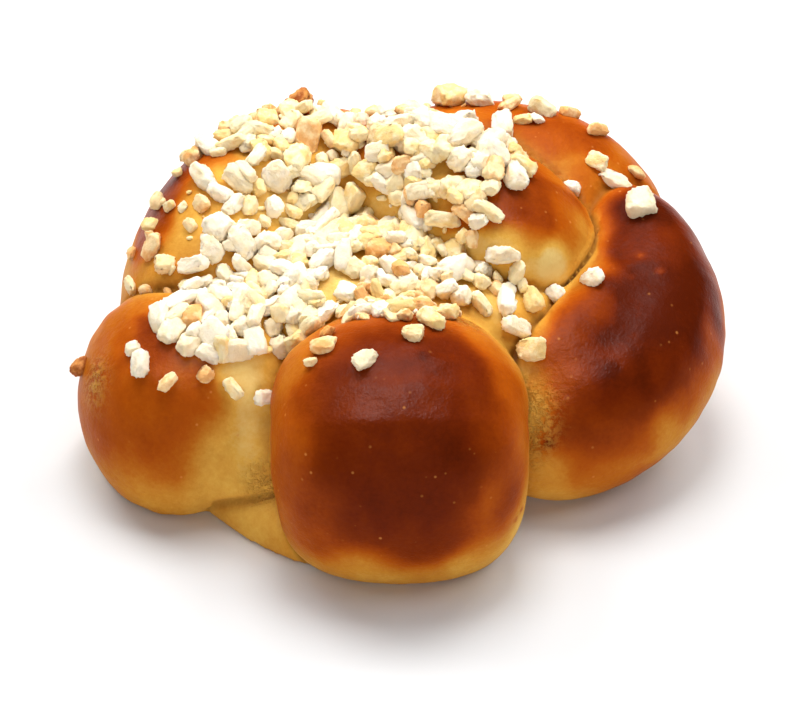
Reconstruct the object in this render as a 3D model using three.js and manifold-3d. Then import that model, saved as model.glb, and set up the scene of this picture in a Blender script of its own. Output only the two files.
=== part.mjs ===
// A knot-shaped sweet bun topped with pearl sugar.
// Rounded strands of dough wrap a core and bake into one body, and the sugar
// grains are fused to the crust, so the whole bun is one closed solid.
// Millimetres: +X to the right, +Y to the back, +Z up, flat base at z = 0.
import * as THREE from 'three';
import { mergeVertices } from 'three/addons/utils/BufferGeometryUtils.js';
import Module from 'manifold-3d';

const wasm = await Module();
wasm.setup();

// Each strand is a row of stations along its centre line:
// x, y, z, half width along the crust, half height away from the middle of the bun.
const CORE = [
  [-42, -4, 9, 16, 11], [-24, 0, 12, 25, 19], [0, 2, 13, 30, 22], [24, 0, 12, 25, 19], [42, 0, 9, 16, 11],
];
const LEFT_LOBE = [
  [-14, -4, 20, 13, 11], [-26, -9, 18, 17, 14], [-37, -12, 14, 18, 17],
  [-38, -13, 6, 18, 15], [-29, -10, -3, 14, 12],
];
const BACK_LEFT_LOBE = [
  [-35, -10, 14, 15, 13], [-34, 4, 19, 18, 15], [-27, 19, 23, 19, 18],
  [-12, 28, 24, 19, 18], [3, 30, 22, 15, 15],
];
const BACK_RIGHT_LOBE = [
  [-3, 29, 23, 15, 16], [12, 31, 25, 17, 17], [27, 26, 22, 18, 19], [40, 12, 16, 15, 16],
];
const INNER_STRAND = [
  [-12, 23, 30, 12, 13], [2, 21, 32, 14, 14], [17, 10, 31, 15, 14], [27, -4, 27, 13, 12],
];
const RIGHT_CRESCENT = [
  [29, 22, 31, 7, 8], [37, 15, 27, 10, 12], [42, 2, 21, 13.5, 14],
  [37.5, -9.5, 16, 15, 15.5], [26, -17, 12, 15, 14], [12, -18, 10, 12, 12],
];
const RIGHT_LEDGE = [
  [31, 15, 28, 4, 6], [34, 6, 27, 5.5, 8], [33.5, -4, 26, 6.5, 9],
  [29, -12, 23.5, 8, 9], [20, -16, 19, 9, 9], [12, -17, 16, 7, 7],
];
const FRONT_LOBE = [
  [0, -11, 25, 14, 12], [0, -22, 24, 20, 14.5], [0, -34.5, 22.5, 21, 16],
  [0, -37.5, 9, 20, 12], [0, -26, -3, 16, 13],
];
const LEFT_TAIL = [
  [-38, -13, 10, 12, 12], [-29, -17, 8.5, 13, 13], [-20, -20.5, 8.5, 12, 12], [-12, -22, 9, 10, 9],
];
const UNDER_STRAND = [
  [-33, -15, 2, 5, 7], [-25, -24, 1, 6.5, 8.5], [-15, -31, 1, 8, 9.5], [-4, -37, 4, 8, 9],
];
const FOOT = [
  [-38, -4, 10, 12, 11], [-32, 17, 12, 15, 13], [-9, 30, 12, 15, 14],
  [18, 31, 12, 15, 14], [38, 12, 12, 14, 13], [38, -6, 10, 12, 12],
];
const STRANDS = [
  CORE, LEFT_LOBE, LEFT_TAIL, BACK_LEFT_LOBE, BACK_RIGHT_LOBE,
  INNER_STRAND, RIGHT_LEDGE, RIGHT_CRESCENT, FRONT_LOBE, UNDER_STRAND, FOOT,
];

// Form of a strand: how square its section is, and how bluntly its ends round off.
const SECTION_POWER = 2.3;
const END_POWER = 5;
const END_ROUNDING = 2.2;
const CURVE_SAMPLES = 400;
const RINGS = 18;
const SIDES = 18;

// The flat underside, and the shift that centres the bun over its own origin.
const PLAN_SHIFT = [-0.3, -1.2];
const CUT_DEPTH = 40;
const CUT_WIDTH = 200;
const ABOVE_BUN = 80;

// Sugar grains that stand apart: x, y, mean half size.
const STRAY_GRAINS = [
  [-54, -12, 1.9], [-44, -19, 1.5], [-42.5, -22.5, 1.9], [-38, -25.5, 1.3], [-32, -24.5, 1.7],
  [-27.5, -25.5, 1.5], [-39.5, -14.5, 2.2], [-36, -6, 1.4], [-46, 1, 1.4], [-39.5, -2, 2],
  [-42, 3, 1.7], [-35.5, 3, 1.3], [-30.5, 2, 2.4], [-34, 7, 1.5], [-33.5, 12, 2.3], [-42, 14.5, 1.9],
  [-33, 21.5, 2.2], [-29, 29, 1.9], [-23, 32, 1.9], [-18, 32.5, 2.7], [9, 37, 3.1], [14.5, 35, 2.4],
  [20, 37, 1.3], [25, 32, 2.3], [30.5, 34, 1.6], [35, 29, 1.7], [34.5, 21, 1.7], [41.5, 22.5, 1.2],
  [38, 18.5, 2.3], [41.5, 10.5, 2.8], [29.5, 15, 2.1], [18, 26.5, 2.3], [17.5, 14.5, 2.6], [11, 14, 2.5],
  [17, -5, 2.2], [9, -6, 2.9], [10, -12.5, 1.9], [13.5, -13.5, 1.7], [17.5, -12, 2.3], [22, -10, 1.9],
  [26.5, -6.5, 1.9], [32.5, -6.5, 1.9], [19, -16, 2.1], [22, -19.5, 2.1], [-22.5, -25, 1.9],
  [-14, -33.5, 1.2], [-12, -31, 1.6], [-11.5, -27, 1.4], [-5.5, -36, 1.7], [2, -30.5, 1.8],
  [5, -26, 2.1], [-3, -22, 2.1],
];

// Where sugar was strewn: centre x, y, half length, half width, turn in degrees,
// number of grains, and their largest and smallest mean half size.
const SUGAR_FIELDS = [
  [-29, -14, 11.5, 8.5, 8, 40, 2.5, 1.2],
  [-17, -15, 5, 5, 0, 12, 2.1, 1.2],
  [-22, -3, 13, 8, 0, 32, 2.6, 1.1],
  [-22, 9, 9, 7, 0, 16, 2.4, 1.2],
  [-12, 15, 10, 7, 0, 24, 2.6, 1.2],
  [-19, 23, 12, 6, 10, 20, 2.4, 1.1],
  [-6, 3, 11, 7, 0, 26, 2.5, 1.1],
  [4, -7, 12, 5, 0, 24, 2.1, 1.1],
  [-4, -13, 8, 4, 0, 16, 1.9, 1],
  [7, 2, 9, 5, -12, 24, 2.1, 1.1],
  [1, 10, 6, 3, 20, 14, 2, 1.1],
  [2, 17, 12, 6, -12, 20, 2.9, 1.2],
  [14, 11, 8, 5, -30, 12, 2.7, 1.2],
  [-6, 28, 13, 4, 0, 12, 2.1, 1],
  [0, -20, 9, 5, 0, 16, 1.9, 0.9],
  [-40, 6, 7, 14, 0, 8, 1.4, 0.8],
  [-28, 25, 10, 6, 30, 8, 1.9, 1],
  [14, 32, 14, 5, -5, 6, 1.5, 0.8],
  [16, -9, 5, 5, 0, 6, 1.6, 0.9],
];
const SEED = 20517;
const TRIES = 9;
const SIZE_FALL = 1;
const SMALLEST_FUSED = 1.9;

// Form of a grain: stretch along its three axes, roughness of its corners, the tilt it
// can lie at, how far its middle stands off the crust, and how grains nest in a heap.
const STRETCH = [[0.95, 1.9], [0.75, 1.15], [0.65, 0.9]];
const CORNER_ROUGHNESS = 0.34;
const TILT = 0.6;
const STAND_OFF = 0.35;
const NESTING = 0.75;
const HEAP_RISE = 0.6;
const GRAIN_CORNERS = 8;

// A repeatable draw between 0 and 1, from a linear congruential generator.
const DRAW_FACTOR = 1664525;
const DRAW_STEP = 1013904223;
const DRAW_RANGE = 2 ** 32;

function seededDraw(seed) {
  let state = seed;
  return () => {
    state = (Math.imul(DRAW_FACTOR, state) + DRAW_STEP) >>> 0;
    return state / DRAW_RANGE;
  };
}

// Points of a smooth curve through the stations, each with its two half sizes.
function smoothStations(stations, count) {
  const last = stations.length - 1;
  const before = stations[0].map((v, k) => 2 * v - stations[1][k]);
  const after = stations[last].map((v, k) => 2 * v - stations[last - 1][k]);
  const rows = [before, ...stations, after];
  const points = [];
  for (let n = 0; n < count; n++) {
    const t = (last * n) / (count - 1);
    const i = Math.min(Math.floor(t), last - 1);
    const f = t - i;
    points.push(rows[i].map((a, k) => {
      const b = rows[i + 1][k];
      const c = rows[i + 2][k];
      const d = rows[i + 3][k];
      return 0.5 * (2 * b + (c - a) * f + (2 * a - 5 * b + 4 * c - d) * f * f
        + (3 * b - a - 3 * c + d) * f * f * f);
    }));
  }
  return points;
}

// The stations respaced along the curve's length, closer together towards its ends.
function ringStations(stations) {
  const fine = smoothStations(stations, CURVE_SAMPLES);
  const along = [0];
  for (let n = 1; n < fine.length; n++) {
    const step = Math.hypot(...[0, 1, 2].map((k) => fine[n][k] - fine[n - 1][k]));
    along.push(along[n - 1] + step);
  }
  const rings = [];
  let n = 1;
  for (let r = 0; r < RINGS; r++) {
    const at = (1 - Math.cos((Math.PI * r) / (RINGS - 1))) / 2;
    const length = at * along[along.length - 1];
    while (n < along.length - 1 && along[n] < length) n += 1;
    const f = (length - along[n - 1]) / (along[n] - along[n - 1]);
    rings.push({ at, row: fine[n].map((v, k) => fine[n - 1][k] * (1 - f) + v * f) });
  }
  return rings;
}

// One strand as a closed solid: superellipse sections that close to a point at each end.
function strandSolid(stations) {
  const rings = ringStations(stations);
  const centres = rings.map(({ row }) => new THREE.Vector3(row[0], row[1], row[2]));
  const positions = [centres[0]];
  for (let r = 1; r < RINGS - 1; r++) {
    const { at, row } = rings[r];
    const centre = centres[r];
    const tangent = centres[r + 1].clone().sub(centres[r - 1]).normalize();
    const outward = centre.clone().addScaledVector(tangent, -centre.dot(tangent)).normalize();
    const sideways = tangent.clone().cross(outward);
    const end = (1 - Math.abs(2 * at - 1) ** END_POWER) ** (1 / END_ROUNDING);
    for (let s = 0; s < SIDES; s++) {
      const angle = (2 * Math.PI * (s + 0.5)) / SIDES;
      const across = Math.sign(Math.cos(angle)) * Math.abs(Math.cos(angle)) ** (2 / SECTION_POWER);
      const out = Math.sign(Math.sin(angle)) * Math.abs(Math.sin(angle)) ** (2 / SECTION_POWER);
      positions.push(centre.clone()
        .addScaledVector(sideways, row[3] * end * across)
        .addScaledVector(outward, row[4] * end * out));
    }
  }
  positions.push(centres[RINGS - 1]);
  const faces = [];
  const ringStart = (r) => 1 + (r - 1) * SIDES;
  const lastPoint = positions.length - 1;
  for (let s = 0; s < SIDES; s++) {
    const next = (s + 1) % SIDES;
    faces.push([0, ringStart(1) + s, ringStart(1) + next]);
    for (let r = 1; r < RINGS - 2; r++) {
      const near = ringStart(r);
      const far = ringStart(r + 1);
      faces.push([near + s, far + s, near + next]);
      faces.push([near + next, far + s, far + next]);
    }
    faces.push([ringStart(RINGS - 2) + s, lastPoint, ringStart(RINGS - 2) + next]);
  }
  return closedSolid(positions, faces);
}

// A manifold solid from points and triangles, with its faces turned outward.
function closedSolid(points, faces) {
  let volume = 0;
  for (const [a, b, c] of faces) {
    volume += points[a].dot(points[b].clone().cross(points[c]));
  }
  const outward = volume > 0 ? faces : faces.map(([a, b, c]) => [a, c, b]);
  return new wasm.Manifold(new wasm.Mesh({
    numProp: 3,
    vertProperties: new Float32Array(points.flatMap((p) => p.toArray())),
    triVerts: new Uint32Array(outward.flat()),
  }));
}

// A closed solid from a three.js geometry.
function solidOf(geometry) {
  const bare = geometry.clone();
  bare.deleteAttribute('normal');
  bare.deleteAttribute('uv');
  const merged = mergeVertices(bare);
  return new wasm.Manifold(new wasm.Mesh({
    numProp: 3,
    vertProperties: new Float32Array(merged.attributes.position.array),
    triVerts: new Uint32Array(merged.index.array),
  }));
}

// A three.js geometry from a solid.
function geometryOf(solid) {
  const mesh = solid.getMesh();
  const geometry = new THREE.BufferGeometry();
  geometry.setAttribute('position', new THREE.BufferAttribute(mesh.vertProperties, 3));
  geometry.setIndex(new THREE.BufferAttribute(mesh.triVerts, 1));
  geometry.computeVertexNormals();
  return geometry;
}

// The strands joined and cut flat underneath.
function makeDough() {
  let dough = strandSolid(STRANDS[0]);
  for (const stations of STRANDS.slice(1)) {
    dough = dough.add(strandSolid(stations));
  }
  const below = new THREE.BoxGeometry(CUT_WIDTH, CUT_WIDTH, CUT_DEPTH);
  below.translate(0, 0, -CUT_DEPTH / 2);
  return dough.subtract(solidOf(below));
}

// One grain's own draws: how it is turned, stretched and chipped.
function drawGrain(draw, x, y, size) {
  const yaw = 2 * Math.PI * draw();
  const tiltX = TILT * (2 * draw() - 1);
  const tiltY = TILT * (2 * draw() - 1);
  const stretch = STRETCH.map(([low, high]) => low + (high - low) * draw());
  const corners = [];
  for (let k = 0; k < GRAIN_CORNERS; k++) {
    corners.push(1 - CORNER_ROUGHNESS * draw());
  }
  return { x, y, size, yaw, tiltX, tiltY, stretch, corners };
}

// Plan positions of all grains: the strays, then each field filled evenly by taking,
// out of a few draws, the place with the most room around it.
function strewSugar() {
  const draw = seededDraw(SEED);
  const grains = STRAY_GRAINS.map(([x, y, size]) => drawGrain(draw, x, y, size));
  for (const [cx, cy, halfLength, halfWidth, turn, count, largest, smallest] of SUGAR_FIELDS) {
    const cos = Math.cos(THREE.MathUtils.degToRad(turn));
    const sin = Math.sin(THREE.MathUtils.degToRad(turn));
    for (let n = 0; n < count; n++) {
      const size = largest + (smallest - largest) * (n / count) ** SIZE_FALL;
      let best = null;
      for (let k = 0; k < TRIES; k++) {
        const angle = 2 * Math.PI * draw();
        const reach = Math.sqrt(draw());
        const u = halfLength * reach * Math.cos(angle);
        const v = halfWidth * reach * Math.sin(angle);
        const x = cx + u * cos - v * sin;
        const y = cy + u * sin + v * cos;
        let room = Infinity;
        for (const other of grains) {
          room = Math.min(room, Math.hypot(x - other.x, y - other.y) - other.size);
        }
        if (best === null || room > best.room) best = { x, y, room };
      }
      grains.push(drawGrain(draw, best.x, best.y, size));
    }
  }
  return grains.sort((a, b) => b.size - a.size);
}

// Finds the crust under a plan position: the highest hit of a vertical line.
function crustFinder(dough) {
  const mesh = new THREE.Mesh(geometryOf(dough), new THREE.MeshBasicMaterial());
  const ray = new THREE.Raycaster();
  const down = new THREE.Vector3(0, 0, -1);
  return (x, y) => {
    ray.set(new THREE.Vector3(x, y, ABOVE_BUN), down);
    const hit = ray.intersectObject(mesh)[0];
    return hit ? { point: hit.point, normal: hit.face.normal } : null;
  };
}

// Gives each grain its place: on the crust, or on the grains already lying there.
function seatGrains(grains, findCrust) {
  const seated = [];
  for (const grain of grains) {
    const crust = findCrust(grain.x, grain.y);
    if (crust === null) continue;
    const centre = crust.point.clone().addScaledVector(crust.normal, STAND_OFF * grain.size);
    const highest = centre.z + HEAP_RISE * grain.size;
    for (const other of seated) {
      const reach = NESTING * (grain.size + other.size);
      const apart = Math.hypot(centre.x - other.centre.x, centre.y - other.centre.y);
      if (apart < reach) {
        const rest = other.centre.z + NESTING * Math.sqrt(reach * reach - apart * apart);
        centre.z = Math.max(centre.z, Math.min(rest, highest));
      }
    }
    seated.push({ ...grain, centre, normal: crust.normal });
  }
  return seated;
}

// One grain: a block with eight chipped corners, lying on its broad side.
function grainSolid(grain) {
  const lean = new THREE.Quaternion().setFromUnitVectors(new THREE.Vector3(0, 0, 1), grain.normal);
  const turn = new THREE.Quaternion().setFromEuler(new THREE.Euler(grain.tiltX, grain.tiltY, grain.yaw));
  const points = grain.corners.map((chip, k) => {
    const point = new THREE.Vector3(k & 1 ? 1 : -1, k & 2 ? 1 : -1, k & 4 ? 1 : -1);
    point.multiply(new THREE.Vector3(...grain.stretch));
    point.multiplyScalar(grain.size * chip);
    return point.applyQuaternion(turn).applyQuaternion(lean).add(grain.centre);
  });
  const sides = [[0, 2, 3, 1], [4, 5, 7, 6], [0, 1, 5, 4], [2, 6, 7, 3], [0, 4, 6, 2], [1, 3, 7, 5]];
  return closedSolid(points, sides.flatMap(([a, b, c, d]) => [[a, b, c], [a, c, d]]));
}

// The dough with its grains fused on; sealed gaps are filled and loose scraps left out.
function makeBun() {
  const dough = makeDough();
  const large = strewSugar().filter((grain) => grain.size >= SMALLEST_FUSED);
  let bun = dough;
  for (const grain of seatGrains(large, crustFinder(dough))) {
    bun = bun.add(grainSolid(grain));
  }
  const pieces = bun.decompose().sort((a, b) => b.volume() - a.volume());
  return pieces[0].translate([-PLAN_SHIFT[0], -PLAN_SHIFT[1], 0]);
}

const crust = new THREE.MeshStandardMaterial({ color: 0xb5651d, roughness: 0.45, metalness: 0 });
const bun = new THREE.Mesh(geometryOf(makeBun()), crust);
bun.name = 'bun';

const part = new THREE.Group();
part.add(bun);

export default part;
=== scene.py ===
"""A knot-shaped sweet bun with pearl sugar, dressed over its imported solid.

Sizes and places are in millimetres, in the row frame before PLAN_SHIFT: +X right, +Y back,
+Z up, the bun's flat underside at z = 0. mesh_object() turns them into metres.
"""
import math

import bpy
import numpy as np
from mathutils import Euler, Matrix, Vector
from mathutils.bvhtree import BVHTree


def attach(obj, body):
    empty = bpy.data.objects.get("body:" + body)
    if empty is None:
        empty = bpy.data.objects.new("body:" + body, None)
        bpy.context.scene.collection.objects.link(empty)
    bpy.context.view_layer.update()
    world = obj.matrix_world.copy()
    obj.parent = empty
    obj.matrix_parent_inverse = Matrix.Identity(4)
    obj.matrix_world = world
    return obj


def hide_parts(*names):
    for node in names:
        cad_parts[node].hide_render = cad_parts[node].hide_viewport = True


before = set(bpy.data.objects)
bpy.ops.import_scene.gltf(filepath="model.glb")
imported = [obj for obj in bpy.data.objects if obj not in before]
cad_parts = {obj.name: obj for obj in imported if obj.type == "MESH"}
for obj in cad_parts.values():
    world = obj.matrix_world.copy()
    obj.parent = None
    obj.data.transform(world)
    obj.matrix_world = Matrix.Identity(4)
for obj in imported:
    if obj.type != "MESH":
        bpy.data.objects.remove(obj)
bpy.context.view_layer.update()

MM = 0.001
PLAN_SHIFT = np.array([-0.3, -1.2, 0.0])

# Stations of each strand's centre line: x, y, z, half width along the crust, and
# half height away from the middle of the bun.
STRANDS = {
    "core": [
        (-42, -4, 9, 16, 11), (-24, 0, 12, 25, 19), (0, 2, 13, 30, 22), (24, 0, 12, 25, 19),
        (42, 0, 9, 16, 11),
    ],
    "left": [
        (-14, -4, 20, 13, 11), (-26, -9, 18, 17, 14), (-37, -12, 14, 18, 17),
        (-38, -13, 6, 18, 15), (-29, -10, -3, 14, 12),
    ],
    "back_left": [
        (-35, -10, 14, 15, 13), (-34, 4, 19, 18, 15), (-27, 19, 23, 19, 18),
        (-12, 28, 24, 19, 18), (3, 30, 22, 15, 15),
    ],
    "back_right": [(-3, 29, 23, 15, 16), (12, 31, 25, 17, 17), (27, 26, 22, 18, 19), (40, 12, 16, 15, 16)],
    "inner": [(-12, 23, 30, 12, 13), (2, 21, 32, 14, 14), (17, 10, 31, 15, 14), (27, -4, 27, 13, 12)],
    "right": [
        (29, 22, 31, 7, 8), (37, 15, 27, 10, 12), (42, 2, 21, 13.5, 14),
        (37.5, -9.5, 16, 15, 15.5), (26, -17, 12, 15, 14), (12, -18, 10, 12, 12),
    ],
    "ledge": [
        (31, 15, 28, 4, 6), (34, 6, 27, 5.5, 8), (33.5, -4, 26, 6.5, 9),
        (29, -12, 23.5, 8, 9), (20, -16, 19, 9, 9), (12, -17, 16, 7, 7),
    ],
    "front": [
        (0, -11, 25, 14, 12), (0, -22, 24, 20, 14.5), (0, -34.5, 22.5, 21, 16),
        (0, -37.5, 9, 20, 12), (0, -26, -3, 16, 13),
    ],
    "left_tail": [
        (-38, -13, 10, 12, 12), (-29, -17, 8.5, 13, 13), (-20, -20.5, 8.5, 12, 12), (-12, -22, 9, 10, 9),
    ],
    "under": [(-33, -15, 2, 5, 7), (-25, -24, 1, 6.5, 8.5), (-15, -31, 1, 8, 9.5), (-4, -37, 4, 8, 9)],
    "foot": [
        (-38, -4, 10, 12, 11), (-32, 17, 12, 15, 13), (-9, 30, 12, 15, 14),
        (18, 31, 12, 15, 14), (38, 12, 12, 14, 13), (38, -6, 10, 12, 12),
    ],
}
SECTION_POWER = 2.3
END_POWER = 5
END_ROUNDING = 2.2
CURVE_SAMPLES = 400
RINGS = 60
SIDES = 60

# Skin of the dough: voxel size of the joined strands, and rounds and strength of softening.
VOXEL = 0.62
SOFTEN_ROUNDS = 2
SOFTEN_STEP = 0.5
# Height over the flat underside up to which the skin's relief fades away.
RELIEF_HEIGHT = 4

# How brown the crust is baked, from 0 (cream) to 1 (mahogany): a level for each strand,
# then places that are darker or paler: x, y, z, their three half sizes, and the change.
BAKED = {
    "core": 0.1, "left": 0.42, "left_tail": 0.1, "back_left": 0.27, "back_right": 0.45, "inner": 0.42,
    "ledge": 0.42, "right": 0.48, "front": 0.46, "under": 0.14, "foot": 0.34,
}
BROWN_SPOTS = {
    "front": [
        (0.5, -44, 27, 15.5, 15, 17, 0.44), (3, -30, 39, 11, 7, 6, 0.12),
        (-18, -27, 36, 4, 7, 6, -0.15), (18, -25, 33, 5, 8, 8, -0.2), (20, -36, 12, 5, 10, 10, -0.2),
        (0, -50, 3, 20, 8, 7, -0.16), (16, -47, 9, 7, 8, 8, -0.16),
    ],
    "left": [
        (-44, -24, 22, 11, 10, 11, 0.12), (-40, -17, 30, 5, 4, 5, 0.2), (-23.5, -24, 22, 5.5, 9, 13, -0.38),
    ],
    "back_left": [
        (-43, 13, 34, 6, 8, 6, 0.42), (-38, 22, 38, 8, 7, 6, 0.35), (-26, 32, 40, 9, 6, 6, 0.28),
        (-17, 38, 38, 9, 7, 7, 0.42), (-6, 42, 34, 12, 8, 9, 0.3), (-31, -1, 36, 8, 9, 8, -0.06),
        (-21, 28, 41, 7, 5, 5, 0.22), (-16, 12, 36, 14, 11, 12, -0.16),
    ],
    "inner": [
        (20, 4, 43, 13, 7, 6, 0.32), (8, 20, 46, 15, 8, 7, 0.26), (20, -8, 34, 15, 5.5, 6, -0.42),
        (2, 8, 40, 12, 8, 10, -0.4), (28, -3, 37, 4, 9, 7, -0.2),
    ],
    "back_right": [
        (28, 26, 42, 12, 5, 4, 0.2), (25, 42, 32, 20, 9, 10, 0.18), (22, 22, 38, 12, 4, 8, -0.1),
    ],
    "ledge": [
        (30, -17, 30, 8, 6, 7, 0.38), (40, 0, 31, 4, 16, 8, 0.5), (37, -13, 30, 5, 7, 7, 0.35),
        (33, 4, 32, 3.5, 9, 7, -0.16),
    ],
    "right": [
        (46, 1, 32, 10, 15, 11, 0.45), (42, -14, 27, 12, 10, 10, 0.32), (34, -24, 21, 8.5, 8, 9, 0.33),
        (39, 17, 36, 6, 9, 8, 0.35), (54, -8, 17, 5, 18, 8, -0.2), (21, -18, 22, 4, 10, 12, -0.3),
        (23, -27, 9, 6, 8, 7, -0.22), (41, -24, 13, 9, 7, 6, -0.14),
    ],
    "left_tail": [],
    "foot": [],
    "core": [],
    "under": [],
}
# How far the levels of two strands blend, how fast a spot fades, how sharp its edge is,
# and how far and at what wavelength that edge wanders.
BLEND_REACH = 2.5
SPOT_FALL = 0.7
SPOT_EDGE = 2.2
SPOT_WANDER = 1.1
WANDER_WAVE = 10
WANDER_SEEDS = (31, 32, 33)
# Slow unevenness all over: wavelength, seed, change in browning.
UNEVEN_TONES = ((14, 11, 0.02), (5, 12, 0.01))

# The pale rim round the bottom, and the paler dough where two strands meet.
RIM_START = 1.5
RIM_HEIGHT = 11
RIM_WANDER = 1.5
RIM_WAVE = 16
RIM_SEED = 5
RIM_TONE = 0.22
RIM_PULL = 0.85
SEAM_REACH = 2.0
SEAM_TONE = 0.12
PLAIN_SEAM = 0.3
SEAM_PALENESS = {
    ("front", "right"): 1.0, ("front", "ledge"): 0.9, ("front", "left"): 0.85, ("front", "left_tail"): 0.85,
    ("front", "under"): 0.8, ("left", "under"): 0.8, ("left", "left_tail"): 0.6, ("left_tail", "under"): 0.5,
    ("core", "front"): 0.5, ("core", "left"): 0.5, ("core", "left_tail"): 0.5, ("core", "right"): 0.8,
    ("core", "ledge"): 0.7, ("core", "inner"): 0.8, ("back_left", "core"): 0.6, ("inner", "right"): 0.6,
    ("inner", "ledge"): 0.8, ("back_right", "inner"): 0.35, ("back_right", "right"): 0.4,
    ("back_right", "ledge"): 0.4, ("ledge", "right"): 0.0, ("back_left", "left"): 0.6,
    ("back_left", "inner"): 0.5, ("back_left", "back_right"): 0.5,
}

# Depth of the creases between strands, and the swells of the baked skin: size and height. CREASES also sets
# how strongly painted shade darkens the crust along each crease.
CREASE_REACH = 0.7
CREASE_FILLET = 4
CREASE_DEPTH = 1.7
CREASES = {
    ("front", "right"): 1.0, ("front", "ledge"): 0.8, ("front", "left"): 1.0, ("front", "left_tail"): 1.0,
    ("front", "under"): 1.0, ("left", "under"): 0.6, ("left_tail", "under"): 0.6, ("inner", "ledge"): 1.0,
    ("inner", "right"): 1.0, ("back_right", "inner"): 0.6, ("back_right", "right"): 0.6,
    ("back_right", "ledge"): 0.6, ("back_left", "left"): 0.8, ("core", "ledge"): 0.8,
    ("core", "inner"): 0.5, ("core", "left"): 0.5, ("core", "back_left"): 0.4,
}
SWELLS = ((19, 0.13), (7, 0.05))
# Strands that are one surface in the real bun, and how the groove between them is smoothed.
CLOSED_SEAMS = [("ledge", "right")]
CLOSING_REACH = 3.5
CLOSING_ROUNDS = 70
CLOSING_STEP = 0.6

# Small marks in the crust: x, y, z, radius, change in browning.
MARKS = [
    (35, -22.7, 26.7, 0.9, 0.6), (24.6, -29.4, 16.4, 0.9, 0.4), (39.2, -5.8, 32.5, 0.9, -0.35),
    (40.9, -1, 34.3, 0.7, -0.3), (43.9, -4.5, 33.6, 0.8, -0.3), (38.5, -9.9, 31.3, 0.8, -0.3),
    (19.5, -43, 14, 0.5, 0.4), (18.8, -44.5, 13, 0.5, 0.4), (3.5, -35, 39, 0.8, 0.25),
]
# Torn, crumbly places of the crust: x, y, z and half sizes.
TORN_PLACES = [
    (22.5, -27.5, 19, 3, 4, 9), (12, -20, 37, 4.5, 4, 4), (-52, -20, 22, 3, 4, 4), (-23, -31, 10, 3, 3, 4),
]

# Sugar grains that stand apart: x, y, mean half size, kind.
STRAY_GRAINS = [
    (-54, -12, 1.9, "browned"), (-44, -19, 1.5, "white"), (-42.5, -22.5, 1.9, "white"),
    (-38, -25.5, 1.3, "toasted"), (-32, -24.5, 1.7, "toasted"), (-27.5, -25.5, 1.5, "cream"),
    (-39.5, -14.5, 2.2, "white"), (-36, -6, 1.4, "cream"), (-46, 1, 1.4, "cream"),
    (-39.5, -2, 2, "toasted"), (-42, 3, 1.7, "toasted"), (-35.5, 3, 1.3, "toasted"),
    (-30.5, 2, 2.4, "white"), (-34, 7, 1.5, "toasted"), (-33.5, 12, 2.3, "white"),
    (-42, 14.5, 1.9, "toasted"), (-33, 21.5, 2.2, "white"), (-29, 29, 1.9, "toasted"),
    (-23, 32, 1.9, "toasted"), (-18, 32.5, 2.7, "browned"), (9, 37, 3.1, "cream"),
    (14.5, 35, 2.4, "white"), (20, 37, 1.3, "toasted"), (25, 32, 2.3, "cream"),
    (30.5, 34, 1.6, "toasted"), (35, 29, 1.7, "toasted"), (34.5, 21, 1.7, "cream"),
    (41.5, 22.5, 1.2, "toasted"), (38, 18.5, 2.3, "white"), (41.5, 10.5, 2.8, "white"),
    (29.5, 15, 2.1, "white"), (18, 26.5, 2.3, "white"), (17.5, 14.5, 2.6, "white"),
    (11, 14, 2.5, "white"), (17, -5, 2.2, "white"), (9, -6, 2.9, "white"), (10, -12.5, 1.9, "white"),
    (13.5, -13.5, 1.7, "cream"), (17.5, -12, 2.3, "white"), (22, -10, 1.9, "cream"),
    (26.5, -6.5, 1.9, "white"), (32.5, -6.5, 1.9, "white"), (19, -16, 2.1, "white"),
    (22, -19.5, 2.1, "cream"), (-22.5, -25, 1.9, "white"), (-14, -33.5, 1.2, "toasted"),
    (-12, -31, 1.6, "toasted"), (-11.5, -27, 1.4, "browned"), (-5.5, -36, 1.7, "white"),
    (2, -30.5, 1.8, "toasted"), (5, -26, 2.1, "cream"), (-3, -22, 2.1, "white"),
]
# Where sugar was strewn: centre x, y, half length, half width, turn in degrees, number
# of grains, their largest and smallest mean half size, and their white and toasted shares.
SUGAR_FIELDS = [
    (-29, -14, 11.5, 8.5, 8, 40, 2.5, 1.2, 0.85, 0.03),
    (-17, -15, 5, 5, 0, 12, 2.1, 1.2, 0.3, 0.05),
    (-22, -3, 13, 8, 0, 32, 2.6, 1.1, 0.75, 0.02),
    (-22, 9, 9, 7, 0, 16, 2.4, 1.2, 0.5, 0.06),
    (-12, 15, 10, 7, 0, 24, 2.6, 1.2, 0.2, 0.06),
    (-19, 23, 12, 6, 10, 20, 2.4, 1.1, 0.15, 0.1),
    (-6, 3, 11, 7, 0, 26, 2.5, 1.1, 0.4, 0.03),
    (4, -7, 12, 5, 0, 24, 2.1, 1.1, 0.4, 0.2),
    (-4, -13, 8, 4, 0, 16, 1.9, 1, 0.2, 0.45),
    (7, 2, 9, 5, -12, 24, 2.1, 1.1, 0.3, 0.2),
    (1, 10, 6, 3, 20, 14, 2, 1.1, 0.3, 0.15),
    (2, 17, 12, 6, -12, 20, 2.9, 1.2, 0.8, 0.06),
    (14, 11, 8, 5, -30, 12, 2.7, 1.2, 0.8, 0.15),
    (-6, 28, 13, 4, 0, 12, 2.1, 1, 0.4, 0.3),
    (0, -20, 9, 5, 0, 16, 1.9, 0.9, 0.15, 0.6),
    (-40, 6, 7, 14, 0, 8, 1.4, 0.8, 0.1, 0.6),
    (-28, 25, 10, 6, 30, 8, 1.9, 1, 0.1, 0.5),
    (14, 32, 14, 5, -5, 6, 1.5, 0.8, 0.2, 0.5),
    (16, -9, 5, 5, 0, 6, 1.6, 0.9, 0.3, 0.2),
]
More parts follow.
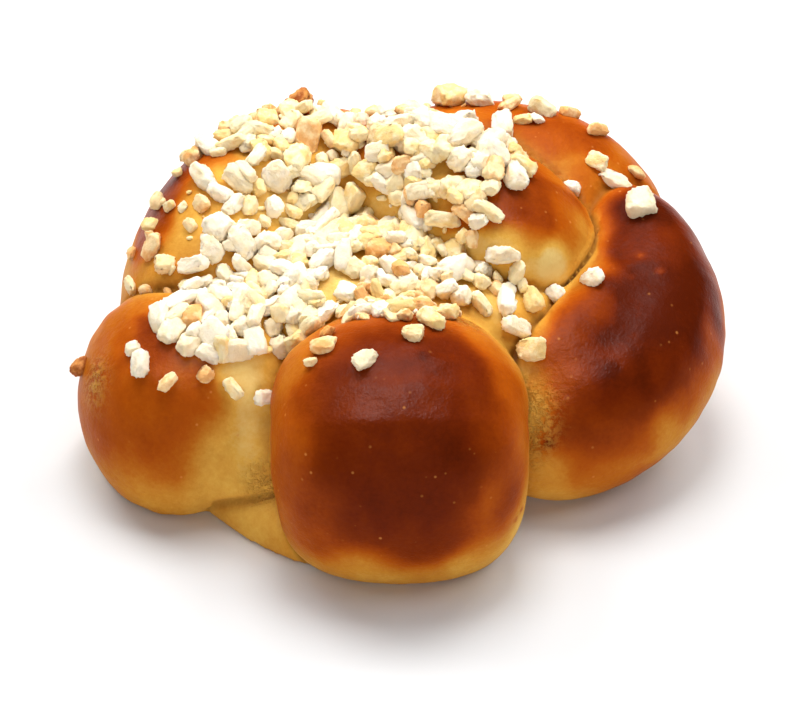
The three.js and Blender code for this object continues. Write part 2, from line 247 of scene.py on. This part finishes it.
# The seeded draw: its start, and the factor, step and range of its next number.
SEED = 20517
DRAW_FACTOR = 1664525
DRAW_STEP = 1013904223
DRAW_RANGE = 2**32
# Places tried for each grain, how the sizes fall over a field, and a grain's draws: its
# three stretches, how far its eight corners are cut back, and its tilt in radians.
TRIES = 9
SIZE_FALL = 1
STRETCH = ((0.95, 1.9), (0.75, 1.15), (0.65, 0.9))
BLOCK_CORNERS = 8
CORNER_ROUGHNESS = 0.34
TILT = 0.6
# In grain sizes: how far its middle stands off the crust, how near two grains lie before
# one rests on the other, and how far it is lifted by that at most.
STAND_OFF = 0.35
NESTING = 0.75
HEAP_RISE = 0.6
HIGH_ABOVE = 60

# Form of a rendered grain: squares along an edge, how square it is, and its broken faces:
# how many, how far out, how soft their edges are, and how rough the surface is.
GRAIN_EDGE = 8
GRAIN_ROUNDING = 4
GRAIN_CHIPS = 9
CHIP_DEPTHS = (0.62, 0.98)
CHIP_EDGE = 0.07
GRAIN_ROUGHNESS = 0.05
# Crumbs between the grains: how many for each grain of a field, their smallest and
# largest half size, and squares along an edge.
CRUMB_SHARE = 0.8
CRUMB_SIZES = (0.3, 0.8)
CRUMB_EDGE = 3

# The photograph's camera, and the pale table.
CAMERA_ELEVATION = 38
CAMERA_DISTANCE = 430
CAMERA_NEAREST = 10
CAMERA_TARGET = (0, -11, 20)
PIXELS_PER_MM = 5.875
PHOTO_WIDTH = 800
SENSOR_WIDTH = 36
TABLE_WIDTH = 3000
TABLE_TONE = 0.71

# Soft lights round the bun, mostly from behind: direction in degrees (0 right, 90 back)
# and above the table, and power in watts.
LIGHTS = {
    "light_back": (90, 72, 2.85),
    "light_back_left": (135, 45, 2.25),
    "light_back_right": (45, 45, 1.8),
    "light_right": (0, 45, 1.12),
    "light_left": (180, 45, 0.62),
    "light_front": (270, 12, 1.4),
}
LIGHT_WIDTH = 300
LIGHT_DISTANCE = 600
LIGHT_TARGET = Vector((0, 0, 20))
# Only lights higher than this, in degrees, are seen as glints.
LOWEST_GLINT = 60
# A broad light overhead that is only seen as a sheen on glossy crust.
SHEEN_LIGHT = (240, 74, 7)
SHEEN_WIDTH = 320
WORLD_STRENGTH = 0.025


def smooth_stations(stations, count):
    """Points of a smooth curve through the stations, each with its two half sizes."""
    rows = np.array(stations, float)
    rows = np.vstack([2 * rows[0] - rows[1], rows, 2 * rows[-1] - rows[-2]])
    spans = len(rows) - 3
    t = np.linspace(0, spans, count)
    i = np.minimum(t.astype(int), spans - 1)
    f = (t - i)[:, None]
    a, b, c, d = rows[i], rows[i + 1], rows[i + 2], rows[i + 3]
    return 0.5 * (2 * b + (c - a) * f + (2 * a - 5 * b + 4 * c - d) * f**2 + (3 * b - a - 3 * c + d) * f**3)


def signed_power(values, power):
    return np.sign(values) * np.abs(values) ** power


def strand_shell(stations):
    """A strand's closed surface: superellipse sections that close to a point at each end."""
    fine = smooth_stations(stations, CURVE_SAMPLES)
    steps = np.linalg.norm(np.diff(fine[:, :3], axis=0), axis=1)
    along = np.concatenate([[0], np.cumsum(steps)])
    at = (1 - np.cos(np.pi * np.linspace(0, 1, RINGS))) / 2
    rows = np.stack([np.interp(at * along[-1], along, fine[:, k]) for k in range(5)], 1)
    centre = rows[:, :3]
    tangent = np.gradient(centre, axis=0)
    tangent /= np.linalg.norm(tangent, axis=1)[:, None]
    outward = centre - (centre * tangent).sum(1)[:, None] * tangent
    outward /= np.linalg.norm(outward, axis=1)[:, None]
    sideways = np.cross(tangent, outward)
    end = np.clip(1 - np.abs(2 * at - 1) ** END_POWER, 0, 1) ** (1 / END_ROUNDING)
    angle = 2 * np.pi * (np.arange(SIDES) + 0.5) / SIDES
    across = signed_power(np.cos(angle), 2 / SECTION_POWER)
    out = signed_power(np.sin(angle), 2 / SECTION_POWER)
    rings = (
        centre[1:-1, None]
        + (rows[:, 3] * end)[1:-1, None, None] * across[None, :, None] * sideways[1:-1, None]
        + (rows[:, 4] * end)[1:-1, None, None] * out[None, :, None] * outward[1:-1, None]
    )
    points = np.vstack([centre[:1], rings.reshape(-1, 3), centre[-1:]])
    last = len(points) - 1
    faces = []
    for s in range(SIDES):
        following = (s + 1) % SIDES
        faces.append((0, 1 + s, 1 + following))
        for r in range(RINGS - 3):
            near = 1 + r * SIDES
            far = near + SIDES
            faces.append((near + following, near + s, far + s, far + following))
        faces.append((last, last - SIDES + following, last - SIDES + s))
    points[:, 2] = np.maximum(points[:, 2], 0)
    return points, faces


def mesh_object(name, points, faces):
    """A smooth-shaded object from points in millimetres."""
    mesh = bpy.data.meshes.new(name)
    mesh.from_pydata(((points - PLAN_SHIFT) * MM).tolist(), [], faces)
    mesh.polygons.foreach_set("use_smooth", [True] * len(mesh.polygons))
    mesh.update()
    obj = bpy.data.objects.new(name, mesh)
    bpy.context.scene.collection.objects.link(obj)
    return obj


def mesh_points(mesh):
    """A mesh's points in millimetres, in the frame of the named sizes."""
    flat = np.empty(len(mesh.vertices) * 3)
    mesh.vertices.foreach_get("co", flat)
    return flat.reshape(-1, 3) / MM + PLAN_SHIFT


def set_mesh_points(mesh, points):
    mesh.vertices.foreach_set("co", ((points - PLAN_SHIFT) * MM).ravel())
    mesh.update()


def mesh_edges(mesh):
    flat = np.empty(len(mesh.edges) * 2, int)
    mesh.edges.foreach_get("vertices", flat)
    return flat.reshape(-1, 2)


def neighbour_mean(values, edges):
    """For each point, the mean of its neighbours' values."""
    count = np.bincount(edges.ravel(), minlength=len(values)).astype(float)
    columns = values.reshape(len(values), -1)
    total = np.stack([
        np.bincount(edges[:, 0], columns[edges[:, 1], k], len(values))
        + np.bincount(edges[:, 1], columns[edges[:, 0], k], len(values))
        for k in range(columns.shape[1])
    ], 1)
    return (total / np.maximum(count, 1)[:, None]).reshape(values.shape)


def smoothstep(low, high, values):
    t = np.clip((values - low) / (high - low), 0, 1)
    return t * t * (3 - 2 * t)


def ripple(points, wavelength, seed, waves=14):
    """Smooth uneven noise of about unit size, from plane waves in random directions."""
    rng = np.random.RandomState(seed)
    total = np.zeros(len(points))
    for _ in range(waves):
        direction = rng.normal(size=3)
        direction *= 2 * np.pi / (wavelength * rng.uniform(0.7, 1.5) * np.linalg.norm(direction))
        total += np.sin(points @ direction + rng.uniform(0, 2 * np.pi))
    return total / math.sqrt(waves / 2)


def point_normals(mesh):
    flat = np.empty(len(mesh.vertices) * 3)
    mesh.vertices.foreach_get("normal", flat)
    return flat.reshape(-1, 3)


def join_strands():
    """All strands joined into one softened skin."""
    points, faces, shells = [], [], {}
    start = 0
    for name, stations in STRANDS.items():
        shell_points, shell_faces = strand_shell(stations)
        shells[name] = BVHTree.FromPolygons(shell_points.tolist(), shell_faces)
        points.append(shell_points)
        faces += [tuple(k + start for k in face) for face in shell_faces]
        start += len(shell_points)
    rough = mesh_object("dough_rough", np.vstack(points), faces)
    skin = rough.modifiers.new("skin", "REMESH")
    skin.mode = "VOXEL"
    skin.voxel_size = VOXEL * MM
    graph = bpy.context.evaluated_depsgraph_get()
    mesh = bpy.data.meshes.new_from_object(rough.evaluated_get(graph))
    bpy.data.objects.remove(rough)
    mesh.polygons.foreach_set("use_smooth", [True] * len(mesh.polygons))
    edges = mesh_edges(mesh)
    places = mesh_points(mesh)
    for _ in range(SOFTEN_ROUNDS):
        places += SOFTEN_STEP * (neighbour_mean(places, edges) - places)
    places[:, 2] = np.maximum(places[:, 2], 0)
    set_mesh_points(mesh, places)
    return mesh, shells


def strand_distances(places, shells):
    """For every point, its distance to each strand's own surface, in millimetres."""
    names = list(shells)
    distance = np.empty((len(places), len(names)))
    for column, name in enumerate(names):
        find = shells[name].find_nearest
        distance[:, column] = [find(place)[3] for place in places.tolist()]
    return names, distance


def pair_values(names, pairs, plain):
    """A table of the values given for pairs of strands, with a plain one for the rest."""
    table = np.full((len(names), len(names)), float(plain))
    for (one, other), value in pairs.items():
        i, j = names.index(one), names.index(other)
        table[i, j] = table[j, i] = value
    return table


def spot_field(places, spots):
    """From 1 in the middle of each spot down to 0 outside them."""
    field = np.zeros(len(places))
    for x, y, z, half_x, half_y, half_z in spots:
        offset = (places - (x, y, z)) / (half_x, half_y, half_z)
        field = np.maximum(field, np.exp(-((offset**2).sum(1))))
    return field


def close_grooves(mesh, places, names, distance):
    """Smooths the skin where two strands are one surface in the real bun."""
    edges = mesh_edges(mesh)
    for one, other in CLOSED_SEAMS:
        near = distance[:, names.index(one)] ** 2 + distance[:, names.index(other)] ** 2
        weight = CLOSING_STEP * np.exp(-near / CLOSING_REACH**2)[:, None]
        for _ in range(CLOSING_ROUNDS):
            places += weight * (neighbour_mean(places, edges) - places)


def browning(places, names, distance):
    """How brown each point is baked, and how deep it lies in a crease between strands; the crease value also
    steers the painted shade along the creases.
    """
    order = np.argsort(distance, axis=1)
    first, second = order[:, 0], order[:, 1]
    gap = np.take_along_axis(distance, order[:, 1:2], 1)[:, 0]
    share = np.exp(-((distance / BLEND_REACH) ** 2)) + 1e-9
    share /= share.sum(1)[:, None]
    tone = np.zeros(len(places))
    wander = np.stack([ripple(places, WANDER_WAVE, seed) for seed in WANDER_SEEDS], 1)
    uneven = places + SPOT_WANDER * wander
    for column, name in enumerate(names):
        level = np.full(len(places), BAKED[name])
        for x, y, z, half_x, half_y, half_z, change in BROWN_SPOTS[name]:
            offset = (uneven - (x, y, z)) / (half_x, half_y, half_z)
            level += change * np.exp(-SPOT_FALL * (offset**4).sum(1) ** (SPOT_EDGE / 2))
        tone += share[:, column] * level
    seam = np.exp(-((gap / SEAM_REACH) ** 2))
    pull = seam * pair_values(names, SEAM_PALENESS, PLAIN_SEAM)[first, second]
    tone += pull * (SEAM_TONE - tone)
    height = places[:, 2] + RIM_WANDER * ripple(places, RIM_WAVE, RIM_SEED)
    rim = 1 - smoothstep(RIM_START, RIM_HEIGHT, height)
    tone += RIM_PULL * rim * (RIM_TONE - tone)
    tone += sum(change * ripple(places, wave, seed) for wave, seed, change in UNEVEN_TONES)
    for x, y, z, radius, change in MARKS:
        tone += change * np.exp(-((places - (x, y, z)) ** 2).sum(1) / radius**2)
    nearest = np.take_along_axis(distance, order[:, :1], 1)[:, 0]
    crease = np.exp(-(((gap - nearest) / CREASE_REACH) ** 2) - ((gap + nearest) / CREASE_FILLET) ** 2)
    return np.clip(tone, 0, 1), crease * pair_values(names, CREASES, 0)[first, second]


def set_attribute(mesh, name, values):
    layer = mesh.attributes.new(name, "FLOAT", "POINT")
    layer.data.foreach_set("value", np.asarray(values, np.float32))


def make_dough():
    mesh, shells = join_strands()
    mesh.name = "dough"
    places = mesh_points(mesh)
    names, distance = strand_distances(places, shells)
    close_grooves(mesh, places, names, distance)
    set_mesh_points(mesh, places)
    tone, crease = browning(places, names, distance)
    normals = point_normals(mesh)
    swell = sum(height * ripple(places, size, seed) for seed, (size, height) in enumerate(SWELLS))
    swell -= CREASE_DEPTH * crease
    above = smoothstep(0, RELIEF_HEIGHT, places[:, 2])
    places += normals * (swell * above)[:, None]
    places[:, 2] = np.maximum(places[:, 2], 0)
    set_mesh_points(mesh, places)
    set_attribute(mesh, "browning", tone)
    # The crease values also steer the painted shade that darkens the crust along the creases.
    set_attribute(mesh, "crease", crease)
    set_attribute(mesh, "torn", spot_field(places, TORN_PLACES))
    dough = bpy.data.objects.new("dough", mesh)
    bpy.context.scene.collection.objects.link(dough)
    mesh.materials.append(crust_material())
    return dough, places


class SeededDraw:
    """A repeatable draw between 0 and 1."""

    def __init__(self, seed):
        self.state = seed

    def __call__(self):
        self.state = (DRAW_FACTOR * self.state + DRAW_STEP) % DRAW_RANGE
        return self.state / DRAW_RANGE


def draw_grain(draw, x, y, size, kind=None, shares=(0, 0)):
    """One grain's own draws: how it is turned, stretched and chipped."""
    grain = {"x": x, "y": y, "size": size, "kind": kind, "shares": shares}
    grain["yaw"] = 2 * math.pi * draw()
    grain["tilt_x"] = TILT * (2 * draw() - 1)
    grain["tilt_y"] = TILT * (2 * draw() - 1)
    grain["stretch"] = [low + (high - low) * draw() for low, high in STRETCH]
    grain["corners"] = [1 - CORNER_ROUGHNESS * draw() for _ in range(BLOCK_CORNERS)]
    return grain


def place_in_field(draw, cx, cy, half_length, half_width, turn):
    """A drawn plan position in a field of sugar."""
    cos, sin = math.cos(math.radians(turn)), math.sin(math.radians(turn))
    angle = 2 * math.pi * draw()
    reach = math.sqrt(draw())
    u = half_length * reach * math.cos(angle)
    v = half_width * reach * math.sin(angle)
    return cx + u * cos - v * sin, cy + u * sin + v * cos


def strew_sugar():
    """Plan positions of all grains: the strays, then each field filled evenly by taking,
    out of a few draws, the place with the most room around it."""
    draw = SeededDraw(SEED)
    grains = [draw_grain(draw, x, y, size, kind) for x, y, size, kind in STRAY_GRAINS]
    for *field, count, largest, smallest, white_share, toasted_share in SUGAR_FIELDS:
        for n in range(count):
            size = largest + (smallest - largest) * (n / count) ** SIZE_FALL
            best, best_room = None, -math.inf
            for _ in range(TRIES):
                x, y = place_in_field(draw, *field)
                room = min(math.hypot(x - g["x"], y - g["y"]) - g["size"] for g in grains)
                if room > best_room:
                    best, best_room = (x, y), room
            grains.append(draw_grain(draw, *best, size, shares=(white_share, toasted_share)))
    return sorted(grains, key=lambda grain: -grain["size"])


def strew_crumbs():
    """Plan positions of the sugar crumbs that lie between the grains of each field."""
    draw = SeededDraw(SEED + 1)
    smallest, largest = CRUMB_SIZES
    crumbs = []
    for *field, count, _, _, white_share, toasted_share in SUGAR_FIELDS:
        for _ in range(round(CRUMB_SHARE * count)):
            x, y = place_in_field(draw, *field)
            size = smallest + (largest - smallest) * draw() ** 2
            crumbs.append(draw_grain(draw, x, y, size, shares=(white_share, toasted_share)))
    return crumbs


def seat_grains(grains, crust):
    """Gives each grain its place: on the crust, or on the grains already lying there."""
    seated = []
    for grain in grains:
        point, normal, _, _ = crust.ray_cast((grain["x"], grain["y"], HIGH_ABOVE), (0, 0, -1))
        if point is None:
            continue
        centre = point + STAND_OFF * grain["size"] * normal
        highest = centre.z + HEAP_RISE * grain["size"]
        for other in seated:
            reach = NESTING * (grain["size"] + other["size"])
            apart = math.hypot(centre.x - other["centre"].x, centre.y - other["centre"].y)
            if apart < reach:
                rest = other["centre"].z + NESTING * math.sqrt(reach * reach - apart * apart)
                centre.z = max(centre.z, min(rest, highest))
        seated.append({**grain, "centre": centre, "normal": normal})
    return seated


def block_grid(edge):
    """Points over a cube's surface, from -1 to 1, and its square faces."""
    index, points, faces = {}, [], []

    def point(key):
        if key not in index:
            index[key] = len(points)
            points.append([2 * k / edge - 1 for k in key])
        return index[key]

    for axis in range(3):
        u, v = (axis + 1) % 3, (axis + 2) % 3
        for side in (0, edge):
            for i in range(edge):
                for j in range(edge):
                    face = []
                    for di, dj in ((0, 0), (1, 0), (1, 1), (0, 1)):
                        key = [0, 0, 0]
                        key[axis], key[u], key[v] = side, i + di, j + dj
                        face.append(point(tuple(key)))
                    faces.append(tuple(face if side else reversed(face)))
    return np.array(points), np.array(faces)


def grain_points(grain, grid, rng):
    """A grain's points: a block with chipped corners, rounded, with flat broken faces."""
    chips = np.zeros(len(grid))
    for k, chip in enumerate(grain["corners"]):
        sides = np.array([1 if k & 1 else -1, 1 if k & 2 else -1, 1 if k & 4 else -1])
        chips += chip * np.prod((1 + grid * sides) / 2, axis=1)
    direction = grid / np.linalg.norm(grid, axis=1)[:, None]
    radius = (np.abs(direction) ** GRAIN_ROUNDING).sum(1) ** (-1 / GRAIN_ROUNDING)
    local = direction * (radius * chips)[:, None]
    for _ in range(GRAIN_CHIPS):
        facet = rng.normal(size=3)
        facet /= np.linalg.norm(facet)
        over = np.maximum(local @ facet - rng.uniform(*CHIP_DEPTHS), 0)
        local -= (over**2 / (over + CHIP_EDGE))[:, None] * facet
    local *= np.array(grain["stretch"]) * grain["size"]
    local += GRAIN_ROUGHNESS * grain["size"] * rng.normal(size=local.shape)
    turn = Euler((grain["tilt_x"], grain["tilt_y"], grain["yaw"]), "ZYX").to_matrix()
    lean = Vector((0, 0, 1)).rotation_difference(grain["normal"]).to_matrix()
    return local @ np.array(lean @ turn).T + np.array(grain["centre"])


def grain_kind(grain, rng):
    """A stray grain's own kind, or one drawn by its field's shares."""
    if grain["kind"]:
        return grain["kind"]
    white_share, toasted_share = grain["shares"]
    if rng.uniform() < toasted_share:
        return "toasted"
    return "white" if rng.uniform() < white_share else "cream"


def make_sugar(places, faces):
    """The sugar grains and crumbs as one piece for each kind."""
    crust = BVHTree.FromPolygons(places.tolist(), faces)
    rng = np.random.RandomState(SEED)
    points = {kind: [] for kind in SUGAR_COLOURS}
    corners = {kind: [] for kind in SUGAR_COLOURS}
    shades = {kind: [] for kind in SUGAR_COLOURS}
    seated = seat_grains(strew_sugar(), crust)
    crumbs = seat_grains(strew_crumbs(), crust)
    for grains, edge in ((seated, GRAIN_EDGE), (crumbs, CRUMB_EDGE)):
        grid, grid_faces = block_grid(edge)
        for grain in grains:
            kind = grain_kind(grain, rng)
            start = sum(len(block) for block in points[kind])
            points[kind].append(grain_points(grain, grid, rng))
            corners[kind].append(grid_faces + start)
            shades[kind].append(np.full(len(grid), rng.uniform()))
    pieces = []
    for kind in SUGAR_COLOURS:
        piece = mesh_object(f"sugar_{kind}", np.vstack(points[kind]), np.vstack(corners[kind]).tolist())
        set_attribute(piece.data, "shade", np.concatenate(shades[kind]))
        piece.data.materials.append(sugar_material(kind))
        pieces.append(piece)
    return pieces


def srgb(red, green, blue):
    """A colour given in 0 to 255 screen values, as the linear colour Blender takes."""
    linear = [((v / 255 + 0.055) / 1.055) ** 2.4 if v > 10 else v / 255 / 12.92 for v in (red, green, blue)]
    return (*linear, 1)


def dimmed(colour, share):
    return (*(share * value for value in colour[:3]), 1)


class Nodes:
    """A material's nodes, made and linked in one call each."""

    def __init__(self, name):
        self.material = bpy.data.materials.new(name)
        self.material.use_nodes = True
        self.tree = self.material.node_tree
        self.shader = self.tree.nodes["Principled BSDF"]

    def add(self, kind, inputs=None, **settings):
        node = self.tree.nodes.new(kind)
        for key, value in settings.items():
            setattr(node, key, value)
        for key, value in (inputs or {}).items():
            self.feed(node.inputs[key], value)
        return node

    def feed(self, socket, value):
        if isinstance(value, bpy.types.NodeSocket):
            self.tree.links.new(value, socket)
        else:
            socket.default_value = value

    def math(self, operation, *values):
        node = self.add("ShaderNodeMath", operation=operation)
        for socket, value in zip(node.inputs, values):
            self.feed(socket, value)
        return node.outputs[0]

    def noise(self, place, scale, detail=2.0, roughness=0.5):
        inputs = {"Vector": place, "Scale": scale, "Detail": detail, "Roughness": roughness}
        return self.add("ShaderNodeTexNoise", inputs).outputs["Fac"]

    def ramp(self, factor, stops):
        node = self.add("ShaderNodeValToRGB", {"Fac": factor})
        band = node.color_ramp
        for at, colour in stops[1:-1]:
            band.elements.new(at)
        for element, (at, colour) in zip(band.elements, stops):
            element.position = at
            element.color = colour
        return node.outputs["Color"]

    def span(self, value, low, high, new_low, new_high):
        inputs = {0: value, 1: low, 2: high, 3: new_low, 4: new_high}
        return self.add("ShaderNodeMapRange", inputs).outputs[0]

    def mix(self, factor, one, other, blend="MIX"):
        node = self.add("ShaderNodeMix", data_type="RGBA", blend_type=blend)
        self.feed(node.inputs[0], factor)
        self.feed(node.inputs[6], one)
        self.feed(node.inputs[7], other)
        return node.outputs[2]

    def attribute(self, name):
        return self.add("ShaderNodeAttribute", attribute_name=name).outputs["Fac"]

    def place(self):
        return self.add("ShaderNodeTexCoord").outputs["Object"]


CRUST_LIGHTNESS = 0.85
CRUST_COLOURS = [
    (0.0, srgb(248, 214, 132)),
    (0.14, srgb(236, 180, 78)),
    (0.27, srgb(214, 144, 50)),
    (0.4, srgb(196, 108, 25)),
    (0.52, srgb(180, 83, 11)),
    (0.64, srgb(157, 65, 8)),
    (0.76, srgb(132, 49, 6)),
    (0.88, srgb(110, 36, 6)),
    (1.0, srgb(84, 25, 5)),
]


def crust_material():
    """Egg-washed crust: colour from how brown it is baked, with painted shade darkening the creases between
    strands, glossier where it is darker.
    """
    n = Nodes("crust")
    place = n.place()
    brown = n.attribute("browning")
    cloud = n.span(n.noise(place, 260, 4, 0.6), 0, 1, -0.04, 0.04)
    grain = n.span(n.noise(place, 1100, 4, 0.7), 0, 1, -0.08, 0.08)
    tone = n.math("ADD", brown, n.math("ADD", cloud, grain))
    colour = n.ramp(tone, [(at, dimmed(stop, CRUST_LIGHTNESS)) for at, stop in CRUST_COLOURS])
    crumb = n.noise(place, 900, 3, 0.7)
    torn = n.math("MULTIPLY", n.attribute("torn"), n.span(crumb, 0.42, 0.58, 0, 1))
    colour = n.mix(torn, colour, srgb(206, 150, 62))
    # Painted shade: the crust is darkened towards a dull brown along the creases between strands.
    painted_crease_shade = n.span(n.attribute("crease"), 0.2, 0.7, 0, 0.7)
    colour = n.mix(painted_crease_shade, colour, srgb(128, 78, 26))
    bubble = n.add("ShaderNodeTexVoronoi", {"Vector": place, "Scale": 420.0, "Randomness": 1.0})
    fleck = n.span(bubble.outputs["Distance"], 0.05, 0.14, 1.0, 0.0)
    some = n.span(n.noise(place, 130, 1), 0.5, 0.6, 0.0, 0.6)
    colour = n.mix(n.math("MULTIPLY", fleck, some), colour, srgb(214, 140, 70))
    n.feed(n.shader.inputs["Base Color"], colour)
    n.feed(n.shader.inputs["Roughness"], n.span(tone, 0.1, 0.85, 0.5, 0.28))
    n.shader.inputs["Specular IOR Level"].default_value = 0.03
    fine = n.add("ShaderNodeBump", {
        "Height": n.noise(place, 1900, 3, 0.6), "Strength": 0.25, "Distance": 0.0004,
    })
    crumbly = n.add("ShaderNodeBump", {
        "Height": n.math("MULTIPLY", torn, crumb), "Strength": 0.8, "Distance": 0.0012,
        "Normal": fine.outputs["Normal"],
    })
    broad = n.add("ShaderNodeBump", {
        "Height": n.noise(place, 420, 3, 0.5), "Strength": 0.22, "Distance": 0.0008,
        "Normal": crumbly.outputs["Normal"],
    })
    n.feed(n.shader.inputs["Normal"], broad.outputs["Normal"])
    return n.material


SUGAR_COLOURS = {
    "white": (srgb(249, 236, 212), srgb(243, 224, 186)),
    "cream": (srgb(249, 230, 186), srgb(242, 208, 140)),
    "toasted": (srgb(248, 218, 166), srgb(230, 172, 106)),
    "browned": (srgb(226, 160, 88), srgb(160, 84, 32)),
}


def sugar_material(kind):
    """Pressed sugar: chalky lumps with a faintly crystalline surface."""
    n = Nodes(f"sugar_{kind}")
    place = n.place()
    light, deep = SUGAR_COLOURS[kind]
    blotch = n.span(n.noise(place, 420, 3, 0.6), 0.35, 0.65, -0.5, 0.5)
    patch = n.math("ADD", n.attribute("shade"), blotch)
    n.feed(n.shader.inputs["Base Color"], n.mix(n.span(patch, 0.2, 0.9, 0.0, 1.0), light, deep))
    n.shader.inputs["Roughness"].default_value = 0.5
    n.shader.inputs["Specular IOR Level"].default_value = 0.08
    n.shader.inputs["Subsurface Weight"].default_value = 0.25
    n.shader.inputs["Subsurface Radius"].default_value = (1.0, 0.8, 0.5)
    n.shader.inputs["Subsurface Scale"].default_value = 0.001
    bump = n.add("ShaderNodeBump", {
        "Height": n.noise(place, 2400, 3, 0.65), "Strength": 0.5, "Distance": 0.0004,
    })
    n.feed(n.shader.inputs["Normal"], bump.outputs["Normal"])
    return n.material


def table_material():
    n = Nodes("table")
    n.feed(n.shader.inputs["Base Color"], (TABLE_TONE, TABLE_TONE, TABLE_TONE, 1))
    n.shader.inputs["Roughness"].default_value = 0.8
    n.shader.inputs["Specular IOR Level"].default_value = 0.1
    return n.material


def make_table():
    half = TABLE_WIDTH / 2
    corners = np.array([(-half, -half, 0), (half, -half, 0), (half, half, 0), (-half, half, 0)], float)
    table = mesh_object("table", corners, [(0, 1, 2, 3)])
    table.data.materials.append(table_material())


def aim(obj, target):
    """Turns an object's -Z towards a point."""
    obj.rotation_mode = "QUATERNION"
    obj.rotation_quaternion = (Vector(target) - obj.location).to_track_quat("-Z", "Y")


def soft_light(name, azimuth, elevation, power, width=LIGHT_WIDTH):
    """A round soft light at LIGHT_DISTANCE that faces the bun from the given direction."""
    turn, rise = math.radians(azimuth), math.radians(elevation)
    direction = Vector((math.cos(turn) * math.cos(rise), math.sin(turn) * math.cos(rise), math.sin(rise)))
    light = bpy.data.lights.new(name, "AREA")
    light.shape = "DISK"
    light.size = width * MM
    light.energy = power
    obj = bpy.data.objects.new(name, light)
    obj.location = (LIGHT_TARGET + LIGHT_DISTANCE * direction) * MM
    bpy.context.scene.collection.objects.link(obj)
    aim(obj, LIGHT_TARGET * MM)
    return obj


def make_lights():
    for name, (azimuth, elevation, power) in LIGHTS.items():
        light = soft_light(name, azimuth, elevation, power)
        light.visible_glossy = elevation > LOWEST_GLINT
    sheen = soft_light("light_sheen", *SHEEN_LIGHT, width=SHEEN_WIDTH)
    sheen.visible_diffuse = False
    world = bpy.data.worlds.new("studio")
    world.use_nodes = True
    sky = world.node_tree.nodes["Background"]
    sky.inputs["Color"].default_value = (1, 1, 1, 1)
    sky.inputs["Strength"].default_value = WORLD_STRENGTH
    bpy.context.scene.world = world
    bpy.context.scene.view_settings.view_transform = "Standard"


def make_camera():
    tilt = math.radians(CAMERA_ELEVATION)
    target = Vector(CAMERA_TARGET) - Vector(PLAN_SHIFT)
    camera = bpy.data.cameras.new("camera")
    camera.sensor_width = SENSOR_WIDTH
    camera.lens = PIXELS_PER_MM * CAMERA_DISTANCE / PHOTO_WIDTH * SENSOR_WIDTH
    camera.clip_start = CAMERA_NEAREST * MM
    obj = bpy.data.objects.new("camera", camera)
    back = Vector((0, -math.cos(tilt), math.sin(tilt)))
    obj.location = (target + CAMERA_DISTANCE * back) * MM
    bpy.context.scene.collection.objects.link(obj)
    aim(obj, target * MM)
    bpy.context.scene.camera = obj


def polygon_corners(mesh):
    return [tuple(polygon.vertices) for polygon in mesh.polygons]


make_camera()
make_lights()
make_table()
dough, dough_points = make_dough()
sugar = make_sugar(dough_points, polygon_corners(dough.data))
for piece in [dough, *sugar]:
    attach(piece, "root")
    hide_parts("bun")
